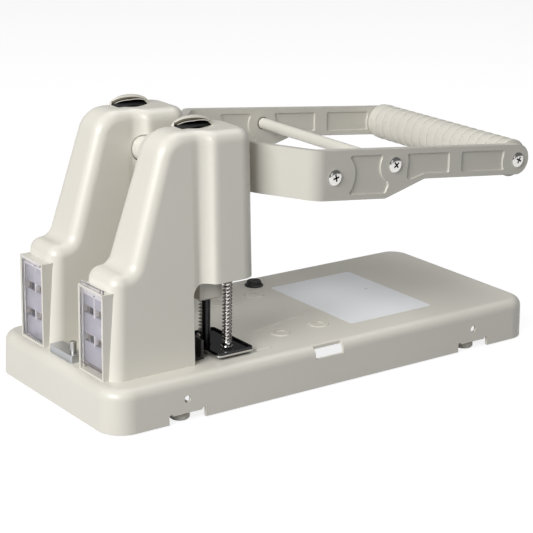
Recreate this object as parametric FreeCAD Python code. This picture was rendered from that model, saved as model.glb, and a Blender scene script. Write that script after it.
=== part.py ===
"""Heavy desk punch with two cutters and one long hand lever. Lengths are in millimetres.

The origin lies on the table under the middle of the base. The two towers stand at the rear
(+Y), the grip of the lever reaches to the front (-Y), and +X is the user's right hand.
The lever is drawn pressed down, as it rests, with both cutters at the end of their stroke.
"""
import FreeCAD, Part
import math
import os
from FreeCAD import Vector

os.makedirs("parts", exist_ok=True)

# General values
overrun = 2.0
sliding_gap = 0.35
shaft_clearance = 0.04
hole_spacing = 80.0

# Base pan, pressed from sheet steel
base_length = 372.0
base_width = 160.0
base_top = 31.0
base_underside = 1.0
base_corner_radius = 18.0
base_edge_radius = 7.0
base_sheet = 2.0
base_draft = 0.025
foot_spacing = 255.0
notch_length = 29.0
notch_height = 5.6
notch_relief_radius = 1.5
tab_reach = 20.0
side_hole_diameter = 5.0
side_hole_height = 16.3
side_window_length = 24.5
side_window_centre = 8.3
side_window_depth = 5.0
side_window_drop = 8.8
ring_diameter = 15.4
ring_hollow_diameter = 7.4
ring_height = 0.7
ring_row_spacing = 34.8
ring_row_front = -11.6

# Rubber feet pressed into the tabs of the pan
foot_diameter = 14.0
foot_neck_diameter = 7.0
foot_inset = 10.5

# Steel plate under the pan that carries the towers and the cutting discs
die_plate_thickness = 4.0
die_plate_width = 126.0
die_plate_front = 68.0
die_plate_rear = 170.0
disc_diameter = 22.0
disc_thickness = 3.6

# Stroke and rack drive
gear_module = 2.0
pinion_teeth = 16
pressure_angle = math.radians(20.0)
pinion_width = 14.0
tooth_relief = 0.3
root_clearance = 0.5
rack_teeth = 6
shaft_diameter = 16.0
shaft_height = 162.0
shaft_place = 96.0
bush_wall = 2.0

# Tower cover, a cast shell that leans in by two and a half degrees
tower_head = 190.2
tower_draft = 0.043
tower_rear = 174.3
tower_front = 61.0
front_draft = 0.004
tower_width = 43.4
bulge_foot_width = 56.8
bulge_head_width = 42.0
swell_front = 91.0
valley_depth = 1.0
cover_wall = 2.5
rear_corner_radius = 9.6
front_corner_radius = 12.0
cover_edge_radius = 8.5
throat_height = 86.5
throat_back = 109.8
throat_corner_radius = 8.0
leg_shoulder_height = 101.9
leg_shoulder_place = 156.3
crown_rear = 128.7
shoulder_slope = 0.03
crown_slope = 0.035
slope_bend_radius = 8.0
crown_radius = 20.0

# Hood on top of each tower
hood_width = 25.0
hood_length = 32.0
hood_height = 6.8
hood_wall = 1.6
hood_shift = 5.0
hood_place = 94.5
hood_seat = 187.3
rim_radius = 23.5
rim_place = (27.0, 88.0)
slit_corners = ((-2.0, 108.0), (12.0, 105.3), (13.0, 95.0), (10.0, 85.0), (4.0, 80.5))

# Inner tower frame
frame_gap = 0.8
cheek_inner_width = 16.0
cheek_outer_width = 24.4
narrow_from = 129.0
frame_width = 30.8
frame_web = 4.0
frame_flange = 5.0
chip_gate_width = 16.0
chip_gate_foot = 40.0
chip_gate_head = 84.0

# Chip bin with its clear window at the rear of each tower
bin_width = 31.6
bin_rear = 177.7
bin_depth = 8.0
bin_top = 90.5
bin_wall = 1.2
window_thickness = 1.2
window_height = 57.0
window_lip = 1.0
window_lift = 3.5

# Slide, cutter and presser
block_width = 21.2
block_front = 81.0
block_rear = 99.0
block_bottom = 71.0
yoke_width = 35.6
yoke_thickness = 8.0
yoke_bottom = 95.0
column_front = 71.0
cutter_place = 86.5
cutter_diameter = 6.0
cutter_bore = 4.4
cutter_grip_length = 18.0
set_screw_diameter = 4.0
presser_length = 29.0
presser_width = 49.0
presser_front = 63.5
presser_thickness = 2.0
presser_height = 33.0
presser_lip = 1.2
rod_spacing = 29.0
rod_place = 79.0
rod_diameter = 4.0
rod_spare_travel = 5.6
nut_height = 2.0
nut_across_flats = 8.0
ferrule_diameter = 6.8
ferrule_height = 2.6
spring_diameter = 7.0
spring_wire = 1.0
spring_turns = 21

# Paper stops, bumper and rear bracket on the pan
stop_place = 98.5
stop_thickness = 2.0
stop_height = 14.0
stop_width = 30.0
stop_foot = 7.0
bumper_diameter = 15.0
bumper_neck_diameter = 12.0
bumper_height = 8.0
bumper_place_x = 59.0
bumper_place_y = -25.0
bracket_width = 30.0
bracket_depth = 10.5
bracket_height = 5.5
bracket_sheet = 1.6
bracket_shift = 1.0
bracket_rear = 178.0
stud_diameter = 4.6
stud_height = 8.0
stud_shift = -8.0

# Lever
arm_outer_width = 163.0
arm_thickness = 6.2
arm_gap_width = 18.0
arm_crank = 55.0
arm_knee = 46.5
arm_bend_front = 25.5
arm_bend_radius = 14.0
arm_ring_radius = 14.6
arm_end_radius = 11.2
arm_panel_depth = 1.3
arm_panel_bevel = 1.0
arm_panel_corner = 1.6
first_screw_place = (10.5, 151.8)
second_screw_place = (-42.5, 153.9)
grip_place = (-160.3, 142.4)
arm_top_rear = (76.0, 176.8)
arm_belly_rear = (66.0, 141.2)
arm_belly_bend = (23.0, 136.8)
arm_belly_front = (-35.0, 130.7)
arm_waist = (-70.5, 140.2)
rear_panel = ((-3.3, 165.2), (-31.0, 162.5), (-37.6, 139.9), (-35.0, 134.3), (-2.6, 138.0))
middle_panel = ((-53.8, 160.3), (-93.4, 156.5), (-93.5, 141.5), (-70.5, 143.8), (-57.2, 141.2), (-54.2, 142.8))
front_panel = ((-104.8, 155.4), (-146.9, 151.2), (-147.1, 136.3), (-105.0, 140.5))
rear_boss_radius = 18.0
middle_boss_radius = 12.5
front_boss_radius = 14.4
tie_rod_diameter = 8.4
screw_diameter = 6.0
screw_head_diameter = 11.0
screw_head_height = 1.9
screw_depth = 14.0
grip_diameter = 27.8
grip_rib_height = 1.3
grip_ribs = 17
grip_tube_diameter = 12.0
hub_diameter = 28.4
hub_bolt_circle = 23.4
hub_bolt_diameter = 3.0
collar_diameter = 19.0

# Frame screws
frame_screw_diameter = 5.0
frame_screw_head = 9.0
frame_screw_spacing = 20.0
frame_screw_front = 122.0
frame_screw_rear = 157.0

# Worked-out places
tower_centre = hole_spacing / 2
pitch_radius = gear_module * pinion_teeth / 2
rack_pitch_place = shaft_place - pitch_radius
rack_root_place = rack_pitch_place - gear_module - root_clearance
tooth_pitch = math.pi * gear_module
arm_inner_width = arm_outer_width - 2 * arm_thickness
pan_inside_top = base_top - base_sheet
guide_width = block_width + 2 * sliding_gap


def box(x0, x1, y0, y1, z0, z1):
    return Part.makeBox(x1 - x0, y1 - y0, z1 - z0, Vector(x0, y0, z0))


def cylinder_x(radius, x0, x1, y, z):
    return Part.makeCylinder(radius, x1 - x0, Vector(x0, y, z), Vector(1, 0, 0))


def cylinder_y(radius, x, y0, y1, z):
    return Part.makeCylinder(radius, y1 - y0, Vector(x, y0, z), Vector(0, 1, 0))


def cylinder_z(radius, x, y, z0, z1):
    return Part.makeCylinder(radius, z1 - z0, Vector(x, y, z0), Vector(0, 0, 1))


def line(a, b):
    return Part.LineSegment(a, b).toShape()


def arc(a, b, c):
    return Part.Arc(a, b, c).toShape()


def rounded_outline(points, radii):
    """Closed wire through the corner points, each corner rounded by its tangent arc."""
    corners = []
    for index, corner in enumerate(points):
        before = (points[index - 1] - corner).normalize()
        after = (points[(index + 1) % len(points)] - corner).normalize()
        half_angle = before.getAngle(after) / 2
        if radii[index] == 0:
            corners.append((corner, None, corner))
            continue
        reach = radii[index] / math.tan(half_angle)
        inward = (before + after).normalize()
        centre = corner + inward * (radii[index] / math.sin(half_angle))
        corners.append((corner + before * reach, centre - inward * radii[index], corner + after * reach))
    edges = []
    for index, (start, middle, end) in enumerate(corners):
        if middle is not None:
            edges.append(arc(start, middle, end))
        edges.append(line(end, corners[(index + 1) % len(corners)][0]))
    return Part.Wire(edges)


def side_prism(points, radii, x0, x1):
    """Solid between x0 and x1 from a rounded outline given as (y, z) corners."""
    outline = rounded_outline([Vector(x0, y, z) for y, z in points], radii)
    return Part.Face(outline).extrude(Vector(x1 - x0, 0, 0))


def plan_prism(points, radii, z0, z1):
    """Solid between z0 and z1 from a rounded outline given as (x, y) corners."""
    outline = rounded_outline([Vector(x, y, z0) for x, y in points], radii)
    return Part.Face(outline).extrude(Vector(0, 0, z1 - z0))


def hexagon(across_flats, x, y, z0, z1):
    radius = across_flats / math.sqrt(3)
    turns = [math.radians(60 * step) for step in range(6)]
    points = [(x + radius * math.cos(turn), y + radius * math.sin(turn)) for turn in turns]
    return plan_prism(points, [0] * 6, z0, z1)


def fuse(shapes):
    return shapes[0].multiFuse(shapes[1:]).removeSplitter()


def mirrored(shape):
    return shape.mirror(Vector(0, 0, 0), Vector(1, 0, 0))


def moved(shape, x=0.0, y=0.0, z=0.0):
    return shape.translated(Vector(x, y, z))


# Base pan

def frustum(low, high, z0, z1):
    """Block with flat leaning sides; low and high are its half sizes below and above."""
    rings = []
    for (half_x, half_y), z in ((low, z0), (high, z1)):
        rings.append([Vector(half_x, half_y, z), Vector(-half_x, half_y, z),
                      Vector(-half_x, -half_y, z), Vector(half_x, -half_y, z)])
    bottom, top = rings
    loops = [bottom, top]
    for index in range(4):
        following = (index + 1) % 4
        loops.append([bottom[index], bottom[following], top[following], top[index]])
    faces = [Part.Face(Part.makePolygon(loop + [loop[0]])) for loop in loops]
    return Part.Solid(Part.Shell(faces))


def pan_block(inset, z0, z1, edge_radius):
    """Drafted block of the pan with cone corners, drawn in by inset, its top edge rounded."""
    lean_low = base_draft * (z0 - base_underside) + inset
    lean_high = base_draft * (z1 - base_underside) + inset
    half_x = base_width / 2
    half_y = base_length / 2
    core_x = half_x - base_corner_radius
    core_y = half_y - base_corner_radius
    pieces = [frustum((half_x - lean_low, core_y), (half_x - lean_high, core_y), z0, z1),
              frustum((core_x, half_y - lean_low), (core_x, half_y - lean_high), z0, z1)]
    for x in (-core_x, core_x):
        for y in (-core_y, core_y):
            pieces.append(Part.makeCone(base_corner_radius - lean_low, base_corner_radius - lean_high,
                                        z1 - z0, Vector(x, y, z0)))
    block = fuse(pieces)
    top_edges = [edge for edge in block.Edges if edge.BoundBox.ZMin > z1 - edge_radius / 10]
    return block.makeFillet(edge_radius, top_edges)


def raised_ring(x, y):
    """Low embossed ring round a sunk centre."""
    outer = Part.makeCone(ring_diameter / 2, ring_diameter / 2 - ring_height, ring_height,
                          Vector(x, y, base_top))
    hollow = cylinder_z(ring_hollow_diameter / 2, x, y, base_top, base_top + ring_height + overrun)
    return outer.cut(hollow)


def base_shell():
    outer = pan_block(0.0, base_underside, base_top, base_edge_radius)
    inner = pan_block(base_sheet, base_underside - overrun, pan_inside_top, base_edge_radius - base_sheet)
    shell = outer.cut(inner)
    half_width = base_width / 2
    cuts = []
    tabs = []
    notch_top = base_underside + notch_height
    for side in (-1, 1):
        for end in (-1, 1):
            place = end * foot_spacing / 2
            x0, x1 = sorted((side * (half_width - base_sheet * 3), side * (half_width + overrun)))
            cuts.append(box(x0, x1, place - notch_length / 2, place + notch_length / 2,
                            base_underside - overrun, notch_top))
            for shift in (-1, 1):
                relief = place + shift * (notch_length / 2 - notch_relief_radius)
                cuts.append(cylinder_x(notch_relief_radius, x0, x1, relief, notch_top))
            cuts.append(cylinder_x(side_hole_diameter / 2, x0, x1, place, side_hole_height))
            wall = half_width - base_sheet - base_draft * notch_height
            inner_x, outer_x = sorted((side * (wall - tab_reach), side * (wall + base_sheet)))
            tab_half = notch_length / 2 - 2 * notch_relief_radius
            tabs.append(box(inner_x, outer_x, place - tab_half, place + tab_half,
                            notch_top - base_sheet, notch_top + base_sheet / 10))
            cuts.append(cylinder_z(foot_neck_diameter / 2, side * (half_width - foot_inset), place,
                                   base_underside, notch_top + overrun))
    window_y0 = side_window_centre - side_window_length / 2
    window_y1 = side_window_centre + side_window_length / 2
    cuts.append(box(-half_width - overrun, -half_width + side_window_depth,
                    window_y0, window_y1, base_top - side_window_drop, base_top + overrun))
    rings = [raised_ring(side * tower_centre, ring_row_front + row * ring_row_spacing)
             for side in (-1, 1) for row in (0, 1)]
    for side in (-1, 1):
        x = side * tower_centre
        cuts.append(cylinder_z(disc_diameter / 2 + shaft_clearance, x, cutter_place,
                               base_underside, base_top + overrun))
        for across in (-1, 1):
            for y in (frame_screw_front, frame_screw_rear):
                cuts.append(cylinder_z(frame_screw_diameter / 2, x + across * frame_screw_spacing / 2, y,
                                       base_underside, base_top + overrun))
    shell = fuse([shell] + tabs + rings)
    return shell.cut(Part.makeCompound(cuts))


def feet():
    """Four rubber feet, each with a neck through its tab and a rim above it."""
    shapes = []
    tab_top = base_underside + notch_height + base_sheet / 10
    tab_bottom = base_underside + notch_height - base_sheet
    rim = foot_neck_diameter / 2 + base_sheet / 2
    neck = foot_neck_diameter / 2
    for side in (-1, 1):
        for end in (-1, 1):
            x = side * (base_width / 2 - foot_inset)
            y = end * foot_spacing / 2
            pad = Part.makeCone(foot_diameter / 2 - base_sheet / 2, foot_diameter / 2, base_sheet / 2,
                                Vector(x, y, 0))
            body = cylinder_z(foot_diameter / 2, x, y, base_sheet / 2, tab_bottom)
            stem = cylinder_z(neck, x, y, base_sheet, tab_top)
            cap = Part.makeCone(rim, neck - base_sheet / 2, base_sheet, Vector(x, y, tab_top))
            shapes.append(fuse([pad, body, stem, cap]))
    return Part.makeCompound(shapes)


def die_plate():
    """Thick steel plate under the pan's top; the cutting discs sit in its two pockets."""
    half = die_plate_width / 2
    corners = [(half, die_plate_rear), (-half, die_plate_rear), (-half, die_plate_front),
               (half, die_plate_front)]
    z0 = pan_inside_top - die_plate_thickness
    plate = plan_prism(corners, [base_edge_radius] * 4, z0, pan_inside_top)
    cuts = []
    for side in (-1, 1):
        x = side * tower_centre
        cuts.append(cylinder_z(disc_diameter / 2 + shaft_clearance, x, cutter_place,
                               base_top - disc_thickness, pan_inside_top + overrun))
        for across in (-1, 1):
            for y in (frame_screw_front, frame_screw_rear):
                cuts.append(cylinder_z(frame_screw_diameter / 2, x + across * frame_screw_spacing / 2, y,
                                       z0 - overrun, pan_inside_top + overrun))
    return plate.cut(Part.makeCompound(cuts))


def cutting_disc(x):
    disc = cylinder_z(disc_diameter / 2, x, cutter_place, base_top - disc_thickness, base_top)
    return disc.makeChamfer(disc_thickness / 8, [disc.Edges[0]])


def paper_stops():
    """Two black angle stops that square the paper behind the cutters."""
    shapes = []
    for side in (-1, 1):
        x = side * tower_centre
        y0 = stop_place
        profile = [(y0, base_top), (y0 + stop_foot, base_top), (y0 + stop_foot, base_top + stop_thickness),
                   (y0 + stop_thickness, base_top + stop_thickness), (y0 + stop_thickness, base_top + stop_height),
                   (y0, base_top + stop_height)]
        bend = stop_thickness / 2
        shapes.append(side_prism(profile, [0, 0, 0, bend, bend / 2, bend / 2],
                                 x - stop_width / 2, x + stop_width / 2))
    return Part.makeCompound(shapes)


def bumper():
    """Black rubber button with a wide rim."""
    rim = bumper_diameter / 2
    neck = bumper_neck_diameter / 2
    z0 = base_top
    z1 = base_top + bumper_height
    radius = bumper_height / 4
    points = [Vector(0, 0, z0), Vector(rim, 0, z0), Vector(rim, 0, z0 + radius),
              Vector(neck, 0, z0 + 1.5 * radius), Vector(neck - radius / 2, 0, z1), Vector(0, 0, z1)]
    outline = rounded_outline(points, [0, 0, radius / 3, radius / 2, radius, 0])
    body = Part.Face(outline).revolve(Vector(0, 0, 0), Vector(0, 0, 1), 360)
    return moved(body, bumper_place_x, bumper_place_y)


def rear_bracket():
    """Folded zinc cap between the towers, open toward the front."""
    x0 = bracket_shift - bracket_width / 2
    x1 = bracket_shift + bracket_width / 2
    y0 = bracket_rear - bracket_depth
    top = base_top + bracket_height
    cap = box(x0, x1, y0, bracket_rear, base_top, top)
    upright = [edge for edge in cap.Edges if abs(edge.tangentAt(0).z) > 0.9 and edge.BoundBox.YMin > y0 + bracket_sheet]
    cap = cap.makeFillet(bracket_sheet, upright)
    hollow = box(x0 + bracket_sheet, x1 - bracket_sheet, y0 - overrun, bracket_rear - bracket_sheet,
                 base_top - overrun, top - bracket_sheet)
    stud_hole = cylinder_z(stud_diameter / 2, stud_shift, y0 + bracket_depth / 2, base_top, top + overrun)
    return cap.cut(hollow).cut(stud_hole)


def bracket_stud():
    x = stud_shift
    y = bracket_rear - bracket_depth / 2
    top = base_top + bracket_height
    shank = cylinder_z(stud_diameter / 2, x, y, base_top, top + stud_height)
    rim = [edge for edge in shank.Edges if edge.BoundBox.ZMin > top + stud_height / 2]
    return shank.makeFillet(stud_diameter / 8, rim)


# Towers

def tower_plan(z, inset):
    """Plan outline of a tower at height z: straight flanks, a shallow valley and the head's bulge."""
    rise = z - base_top
    share = rise / (tower_head - base_top)
    rear = tower_rear - tower_draft * rise - inset
    front = tower_front + front_draft * rise + inset
    flank = tower_width / 2 - tower_draft * rise - inset
    bulge = (bulge_foot_width + (bulge_head_width - bulge_foot_width) * share) / 2 - inset
    valley = flank - valley_depth * (1 - share)
    rear_radius = rear_corner_radius - inset
    front_radius = front_corner_radius - inset
    diagonal = math.sqrt(0.5)
    flank_end = throat_back
    bulge_start = swell_front
    valley_place = flank_end + (bulge_start - flank_end) * 0.32
    rise_place = flank_end + (bulge_start - flank_end) * 0.64

    def half(side):
        def at(x, y):
            return Vector(side * x, y, z)
        rear_arc = arc(at(flank - rear_radius, rear),
                       at(flank - rear_radius * (1 - diagonal), rear - rear_radius * (1 - diagonal)),
                       at(flank, rear - rear_radius))
        flank_line = line(at(flank, rear - rear_radius), at(flank, flank_end))
        swell = Part.BSplineCurve()
        swell.interpolate(Points=[at(flank, flank_end), at(valley, valley_place),
                                  at(flank + (bulge - flank) / 2, rise_place), at(bulge, bulge_start)],
                          InitialTangent=Vector(0, -1, 0), FinalTangent=Vector(0, -1, 0))
        bulge_line = line(at(bulge, bulge_start), at(bulge, front + front_radius))
        front_arc = arc(at(bulge, front + front_radius),
                        at(bulge - front_radius * (1 - diagonal), front + front_radius * (1 - diagonal)),
                        at(bulge - front_radius, front))
        return [rear_arc, flank_line, swell.toShape(), bulge_line, front_arc]

    right = half(1)
    left = half(-1)
    rear_line = line(Vector(rear_radius - flank, rear, z), Vector(flank - rear_radius, rear, z))
    front_line = line(Vector(bulge - front_radius, front, z), Vector(front_radius - bulge, front, z))
    return Part.Wire(Part.__sortEdges__([rear_line] + right + [front_line] + left))


def tower_side(inset):
    """Side outline of a tower as a face in the YZ plane, drawn in by inset."""
    past_rear = tower_rear + 10 * overrun
    past_front = tower_front - 10 * overrun
    below = base_top - 5 * overrun
    shoulder_start = leg_shoulder_height - (past_rear - leg_shoulder_place) * shoulder_slope
    crown_end = tower_head - (crown_rear - past_front) * crown_slope
    corners = [(past_rear, below), (past_rear, shoulder_start), (leg_shoulder_place, leg_shoulder_height),
               (crown_rear, tower_head), (past_front, crown_end), (past_front, throat_height),
               (throat_back, throat_height), (throat_back, below)]
    radii = [0, 0, slope_bend_radius, crown_radius, 0, 0, throat_corner_radius, 0]
    face = Part.Face(rounded_outline([Vector(0, y, z) for y, z in corners], radii))
    if inset:
        face = face.makeOffset2D(-inset, 0, False, False, False).Faces[0]
    return face


def tower_body(inset, edge_radius, mouth=False):
    """Solid tower: the drafted plan crossed with the side outline, upper edges rounded.

    With a mouth it also runs down through the roof of the throat.
    """
    reach = tower_width
    outline = tower_side(inset)
    if mouth:
        rim_rear = throat_back - throat_corner_radius - overrun
        past_front = tower_front - 10 * overrun
        drop = [Vector(0, rim_rear, throat_height - overrun), Vector(0, rim_rear, throat_height + 5 * overrun),
                Vector(0, past_front, throat_height + 5 * overrun), Vector(0, past_front, throat_height - overrun)]
        outline = outline.fuse(Part.Face(Part.makePolygon(drop + [drop[0]]))).removeSplitter().Faces[0]
    prism = moved(outline.extrude(Vector(2 * reach, 0, 0)), -reach)
    foot = base_top if inset == 0 else base_top - overrun
    plan = Part.makeLoft([tower_plan(foot, inset), tower_plan(tower_head + overrun, inset)], True, True)
    body = plan.common(prism).Solids[0]
    chosen = []
    for edge in body.Edges:
        middle = edge.valueAt((edge.FirstParameter + edge.LastParameter) / 2)
        if middle.z < throat_height + 2 * overrun:
            continue
        upper = 0
        for face in body.ancestorsOfType(edge, Part.Face):
            u, v = face.Surface.parameter(middle)
            normal = face.normalAt(u, v)
            upper += abs(normal.x) < 0.001 and normal.z > 0.2
        if upper == 1:
            chosen.append(edge)
    return body.makeFillet(edge_radius, chosen)


def ellipsoid(radius_x, radius_y, radius_z, x, y, z):
    ball = Part.makeSphere(1.0)
    stretch = FreeCAD.Matrix(radius_x, 0, 0, x, 0, radius_y, 0, y, 0, 0, radius_z, z, 0, 0, 0, 1)
    return ball.transformGeometry(stretch)


def tower_cover(side):
    """Cast shell with an eyelid hood over a slit, open below, cut out at the rear for the chip bin."""
    outer = tower_body(0.0, cover_edge_radius)
    cavity = tower_body(cover_wall, cover_edge_radius - cover_wall, mouth=True)
    half = tower_width
    bin_hole = box(-bin_width / 2, bin_width / 2, tower_rear - bin_depth - cover_wall, tower_rear + overrun,
                   base_top - overrun, bin_top)
    dome = ellipsoid(hood_width / 2, hood_length / 2, hood_height + hood_wall, hood_shift, hood_place, hood_seat)
    hollow = ellipsoid(hood_width / 2 - hood_wall, hood_length / 2 - hood_wall, hood_height,
                       hood_shift, hood_place, hood_seat)
    rim_x, rim_y = rim_place
    lid = dome.common(cylinder_z(rim_radius, rim_x, rim_y, tower_front, tower_head + hood_height + hood_wall))
    slit = plan_prism(slit_corners, [hood_wall / 2] * len(slit_corners), throat_height, tower_head + hood_wall / 2)
    top_half = box(-half, half, tower_front, tower_rear, hood_seat, tower_head + hood_height)
    shell = outer.fuse(lid).cut(hollow.common(top_half)).cut(cavity)
    shell = shell.cut(slit).cut(bin_hole).removeSplitter()
    # The shaft enters through the flank that faces the other tower.
    reach = -side * half
    x0, x1 = sorted((0, reach))
    shaft_hole = cylinder_x(collar_diameter / 2 + sliding_gap * 2, x0, x1, shaft_place, shaft_height)
    return shell.cut(shaft_hole)


def tower_frame():
    """Cast frame inside a tower: two tapered cheeks, a web all round and a flange on the pan."""
    inset = cover_wall + frame_gap
    reach = tower_width
    rear_limit = bin_rear - bin_depth - sliding_gap
    slot_side = tower_side(inset + frame_web)
    wide_slot = moved(slot_side.extrude(Vector(guide_width, 0, 0)), -guide_width / 2)
    wide_slot = wide_slot.common(box(-reach, reach, tower_front, rear_limit, 0, narrow_from))
    narrow_slot = moved(slot_side.extrude(Vector(cheek_inner_width, 0, 0)), -cheek_inner_width / 2)
    frame = tower_body(inset, cover_edge_radius - inset)
    frame = frame.common(box(-frame_width / 2, frame_width / 2, rod_place - spring_diameter, rear_limit,
                             base_top, tower_head))
    guide_front = block_rear - pitch_radius / 2
    guide_head = narrow_from + frame_web
    column_rear = block_rear + sliding_gap
    cuts = [wide_slot, narrow_slot,
            box(-reach, reach, tower_front, guide_front, base_top, guide_head),
            box(-guide_width / 2, guide_width / 2, tower_front, column_rear, base_top, narrow_from),
            box(-cheek_inner_width / 2, cheek_inner_width / 2, tower_front, column_rear, base_top, tower_head),
            box(-chip_gate_width / 2, chip_gate_width / 2, bin_rear - 2 * bin_depth, rear_limit + overrun,
                chip_gate_foot, chip_gate_head),
            cylinder_x(shaft_diameter / 2 + bush_wall, -reach, reach, shaft_place, shaft_height)]
    for across in (-1, 1):
        # The cheeks are faced flat round the bushes.
        x0, x1 = sorted((across * cheek_outer_width / 2, across * reach))
        cuts.append(cylinder_x(shaft_diameter / 2 + 3 * bush_wall, x0, x1, shaft_place, shaft_height))
    frame = frame.cut(Part.makeCompound(cuts))
    half = guide_width / 2
    flange = box(-half, half, throat_back + inset + frame_web / 2, rear_limit - frame_web / 2,
                 base_top, base_top + frame_flange)
    holes = []
    for across in (-1, 1):
        for y in (frame_screw_front, frame_screw_rear):
            holes.append(cylinder_z(frame_screw_diameter / 2, across * frame_screw_spacing / 2, y,
                                    base_top - overrun, base_top + frame_flange))
    return fuse([frame, flange]).cut(Part.makeCompound(holes))


def shaft_bushes():
    shapes = []
    for across in (-1, 1):
        x0, x1 = sorted((across * cheek_inner_width / 2, across * cheek_outer_width / 2))
        ring = cylinder_x(shaft_diameter / 2 + bush_wall, x0, x1, shaft_place, shaft_height)
        bore = cylinder_x(shaft_diameter / 2 + shaft_clearance, x0 - overrun, x1 + overrun,
                          shaft_place, shaft_height)
        shapes.append(ring.cut(bore))
    return Part.makeCompound(shapes)


def frame_screws():
    """Eight screws driven up from below through plate, pan and flange."""
    shapes = []
    z0 = pan_inside_top - die_plate_thickness
    head = frame_screw_head / 2
    for side in (-1, 1):
        for across in (-1, 1):
            for y in (frame_screw_front, frame_screw_rear):
                x = side * tower_centre + across * frame_screw_spacing / 2
                shank = cylinder_z(frame_screw_diameter / 2, x, y, z0, base_top + frame_flange)
                cap = Part.makeCone(head - frame_screw_diameter / 4, head, frame_screw_diameter / 2,
                                    Vector(x, y, z0 - frame_screw_diameter / 2))
                shapes.append(fuse([shank, cap]))
    return Part.makeCompound(shapes)


def chip_bin():
    """Shallow plastic pocket: side rails with window grooves, a ribbed back and two ledges."""
    half = bin_width / 2
    y0 = bin_rear - bin_depth
    shell = box(-half, half, y0, bin_rear, base_top, bin_top)
    pocket = box(bin_wall - half, half - bin_wall, y0 + bin_wall, bin_rear + overrun,
                 base_top + bin_wall, bin_top + overrun)
    shell = shell.cut(pocket)
    groove = window_thickness + 2 * sliding_gap
    groove_rear = bin_rear - window_lip / 2
    strips = []
    for across in (-1, 1):
        x0, x1 = sorted((across * (half - bin_wall - window_lip), across * (half - bin_wall)))
        strips.append(box(x0, x1, groove_rear, bin_rear, base_top, bin_top))
        strips.append(box(x0, x1, groove_rear - groove - window_lip, groove_rear - groove, base_top, bin_top))
    window_span = bin_top - base_top
    ledge_reach = bin_depth - groove - window_lip * 2
    gates = []
    for share in (1 / 2, 2 / 3):
        z = base_top + window_span * share
        strips.append(box(bin_wall - half, half - bin_wall, y0 + bin_wall, y0 + ledge_reach, z, z + bin_wall))
        # Chips come in through a gate under each ledge.
        gates.append(box(-chip_gate_width / 2, chip_gate_width / 2, y0 - overrun, y0 + bin_wall + overrun,
                         z - 3 * bin_wall, z))
    rib_foot = base_top + window_span * 2 / 3
    strips.append(box(-bin_wall / 2, bin_wall / 2, y0 + bin_wall, y0 + ledge_reach, rib_foot, bin_top))
    return fuse([shell] + strips).cut(Part.makeCompound(gates))


def bin_window():
    """Clear plate that slides up out of the rails, with a thumb bar near its top."""
    half = bin_width / 2 - bin_wall - sliding_gap
    y1 = bin_rear - window_lip / 2 - sliding_gap
    y0 = y1 - window_thickness
    z0 = base_top + bin_wall + sliding_gap
    plate = box(-half, half, y0, y1, z0, z0 + window_height)
    thumb_half = half - window_lip - sliding_gap * 2
    bar_top = z0 + window_height
    bar = box(-thumb_half, thumb_half, y1, y1 + window_lip, bar_top - bin_wall * 1.5, bar_top)
    return fuse([plate, bar])


# Lever

def parallel(points, distance):
    """Open outline that runs beside the given one on its right, with mitred corners."""
    normals = []
    for (x0, y0), (x1, y1) in zip(points, points[1:]):
        length = math.hypot(x1 - x0, y1 - y0)
        normals.append(((y1 - y0) / length, (x0 - x1) / length))
    shifted = []
    for (x, y), (ax, ay), (bx, by) in zip(points, normals[:1] + normals, normals + normals[-1:]):
        mitre = distance / (1 + ax * bx + ay * by)
        shifted.append((x + (ax + bx) * mitre, y + (ay + by) * mitre))
    return shifted


def lever_arm():
    """Cast arm: rises between the towers, cranks out in front of one and turns forward."""
    outer = arm_outer_width / 2
    gap = arm_gap_width / 2
    past_rear = shaft_place + arm_ring_radius + overrun
    past_front = grip_place[0] - arm_end_radius - overrun
    path = [(gap, past_rear), (gap, arm_crank), (arm_knee, arm_crank), (outer, arm_bend_front), (outer, past_front)]
    wide = arm_bend_radius
    tight = arm_bend_radius - arm_thickness
    plan = path + parallel(path, arm_thickness)[::-1]
    band = plan_prism(plan, [0, tight, wide, wide, 0, 0, tight, tight, wide, 0], base_top, tower_head)
    end_y, end_z = grip_place
    rise = (arm_top_rear[1] - (end_z + arm_end_radius)) / (arm_top_rear[0] - end_y)
    side = [arm_top_rear, (end_y, end_z + arm_end_radius), (end_y - arm_end_radius, end_z + arm_end_radius),
            (end_y - arm_end_radius, end_z - arm_end_radius), (end_y, end_z - arm_end_radius),
            arm_waist, arm_belly_front, arm_belly_bend, arm_belly_rear]
    full = arm_end_radius * 0.98
    profile = side_prism(side, [0, 0, full, full, 0, 4 * overrun, 3 * overrun, 0, 0], 0, outer + overrun)
    ring = cylinder_x(arm_ring_radius, 0, gap, shaft_place, shaft_height)
    neck = side_prism([(arm_top_rear[0] - overrun, arm_top_rear[1] - rise * overrun),
                       (arm_belly_rear[0] - overrun, arm_belly_rear[1]),
                       (shaft_place, shaft_height - arm_ring_radius),
                       (shaft_place, shaft_height + arm_ring_radius)], [0] * 4, 0, gap)
    arm = band.common(fuse([profile, ring, neck]))
    cuts = [cylinder_x(shaft_diameter / 2, 0, outer, shaft_place, shaft_height)]
    for y, z in (first_screw_place, second_screw_place, grip_place):
        cuts.append(cylinder_x(screw_diameter / 2, arm_knee, outer + overrun, y, z))
    for turn in (90, 210, 330):
        angle = math.radians(turn)
        cuts.append(cylinder_x(hub_bolt_diameter / 2, 0, gap + overrun,
                               shaft_place + hub_bolt_circle / 2 * math.cos(angle),
                               shaft_height + hub_bolt_circle / 2 * math.sin(angle)))
    return arm.cut(Part.makeCompound(cuts)).cut(arm_panels())


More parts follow.
